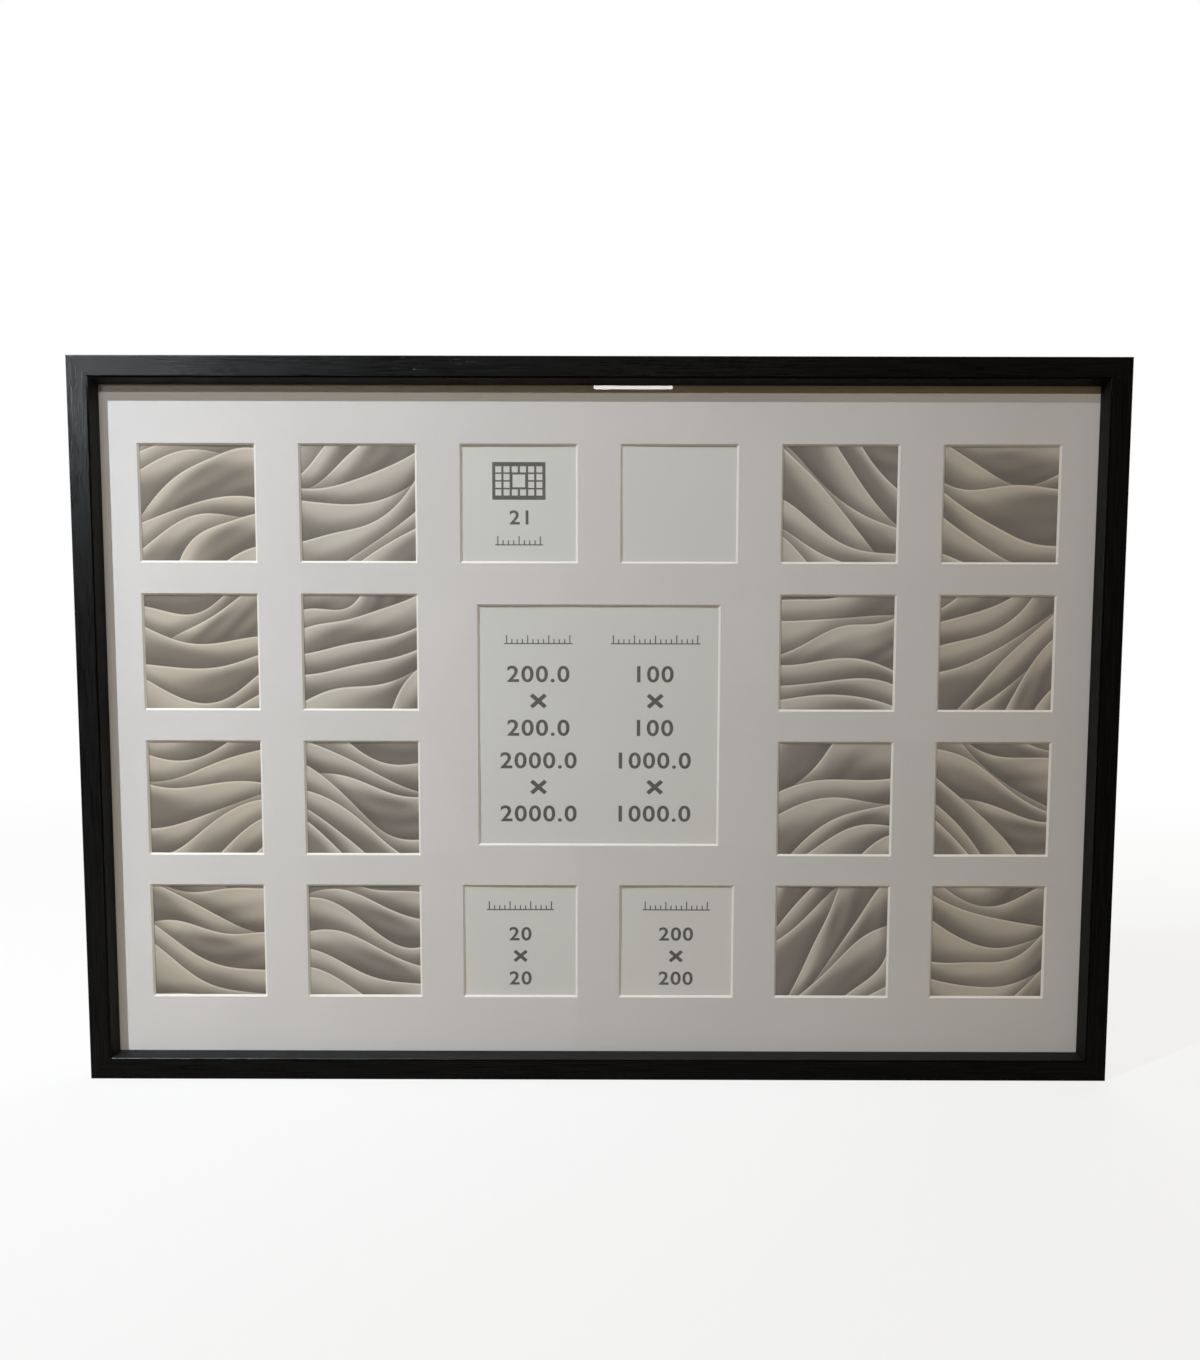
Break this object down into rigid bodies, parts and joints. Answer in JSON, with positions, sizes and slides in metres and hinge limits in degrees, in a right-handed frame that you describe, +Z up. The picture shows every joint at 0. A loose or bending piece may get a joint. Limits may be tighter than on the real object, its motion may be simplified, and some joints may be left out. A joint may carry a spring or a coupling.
{
  "type": "collage photo frame",
  "caption": "Wide black wall frame with a deep bevelled lip, glass, a white mat with a grid of square windows round a large one, and turn buttons behind.",
  "frame": {"origin": "middle of the bottom edge, half way along the underside of the bottom rail and half way through the rails' depth", "axes": "+Z up, +X to the right seen from the front; the front faces -Y and the wall side +Y"},
  "size_m": [0.783, 0.0216, 0.546],
  "materials": {
    "rail_foil": "black wood-grain foil, satin",
    "bright_steel": "zinc plated",
    "button_steel": "zinc plated",
    "clear_glass": "clear float glass",
    "white_mat": "white paper face, white core",
    "printed_paper": "matt print",
    "brown_board": "smooth hardboard"
  },
  "bodies": {
    "frame": {"rail_top": "rail_foil", "rail_bottom": "rail_foil", "rail_left": "rail_foil", "rail_right": "rail_foil", "corner_nails": "bright_steel", "glass_pane": "clear_glass", "mat_board": "white_mat", "insert_sheet": "printed_paper", "backing_board": "brown_board", "button_screws": "bright_steel", "hanger_top_left": "bright_steel", "hanger_top_right": "bright_steel", "hanger_side_upper": "bright_steel", "hanger_side_lower": "bright_steel"},
    "turn_button_top_1": {"turn_button_top_1": "button_steel"},
    "turn_button_top_2": {"turn_button_top_2": "button_steel"},
    "turn_button_top_3": {"turn_button_top_3": "button_steel"},
    "turn_button_top_4": {"turn_button_top_4": "button_steel"},
    "turn_button_bottom_1": {"turn_button_bottom_1": "button_steel"},
    "turn_button_bottom_2": {"turn_button_bottom_2": "button_steel"},
    "turn_button_bottom_3": {"turn_button_bottom_3": "button_steel"},
    "turn_button_bottom_4": {"turn_button_bottom_4": "button_steel"},
    "turn_button_left_1": {"turn_button_left_1": "button_steel"},
    "turn_button_left_2": {"turn_button_left_2": "button_steel"},
    "turn_button_left_3": {"turn_button_left_3": "button_steel"},
    "turn_button_right_1": {"turn_button_right_1": "button_steel"},
    "turn_button_right_2": {"turn_button_right_2": "button_steel"},
    "turn_button_right_3": {"turn_button_right_3": "button_steel"}
  },
  "joints": [
    {"name": "turn_button_top_1_turn", "type": "hinge", "parent": "frame", "child": "turn_button_top_1", "pos_m": [-0.28365, 0.0094, 0.53935], "axis": [0, 1, 0], "continuous": true},
    {"name": "turn_button_top_2_turn", "type": "hinge", "parent": "frame", "child": "turn_button_top_2", "pos_m": [-0.09455, 0.0094, 0.53935], "axis": [0, 1, 0], "continuous": true},
    {"name": "turn_button_top_3_turn", "type": "hinge", "parent": "frame", "child": "turn_button_top_3", "pos_m": [0.09455, 0.0094, 0.53935], "axis": [0, 1, 0], "continuous": true},
    {"name": "turn_button_top_4_turn", "type": "hinge", "parent": "frame", "child": "turn_button_top_4", "pos_m": [0.28365, 0.0094, 0.53935], "axis": [0, 1, 0], "continuous": true},
    {"name": "turn_button_bottom_1_turn", "type": "hinge", "parent": "frame", "child": "turn_button_bottom_1", "pos_m": [0.28365, 0.0094, 0.00665], "axis": [0, 1, 0], "continuous": true},
    {"name": "turn_button_bottom_2_turn", "type": "hinge", "parent": "frame", "child": "turn_button_bottom_2", "pos_m": [0.09455, 0.0094, 0.00665], "axis": [0, 1, 0], "continuous": true},
    {"name": "turn_button_bottom_3_turn", "type": "hinge", "parent": "frame", "child": "turn_button_bottom_3", "pos_m": [-0.09455, 0.0094, 0.00665], "axis": [0, 1, 0], "continuous": true},
    {"name": "turn_button_bottom_4_turn", "type": "hinge", "parent": "frame", "child": "turn_button_bottom_4", "pos_m": [-0.28365, 0.0094, 0.00665], "axis": [0, 1, 0], "continuous": true},
    {"name": "turn_button_left_1_turn", "type": "hinge", "parent": "frame", "child": "turn_button_left_1", "pos_m": [-0.38485, 0.0094, 0.09987], "axis": [0, 1, 0], "continuous": true},
    {"name": "turn_button_left_2_turn", "type": "hinge", "parent": "frame", "child": "turn_button_left_2", "pos_m": [-0.38485, 0.0094, 0.273], "axis": [0, 1, 0], "continuous": true},
    {"name": "turn_button_left_3_turn", "type": "hinge", "parent": "frame", "child": "turn_button_left_3", "pos_m": [-0.38485, 0.0094, 0.44613], "axis": [0, 1, 0], "continuous": true},
    {"name": "turn_button_right_1_turn", "type": "hinge", "parent": "frame", "child": "turn_button_right_1", "pos_m": [0.38485, 0.0094, 0.44613], "axis": [0, 1, 0], "continuous": true},
    {"name": "turn_button_right_2_turn", "type": "hinge", "parent": "frame", "child": "turn_button_right_2", "pos_m": [0.38485, 0.0094, 0.273], "axis": [0, 1, 0], "continuous": true},
    {"name": "turn_button_right_3_turn", "type": "hinge", "parent": "frame", "child": "turn_button_right_3", "pos_m": [0.38485, 0.0094, 0.09987], "axis": [0, 1, 0], "continuous": true}
  ]
}
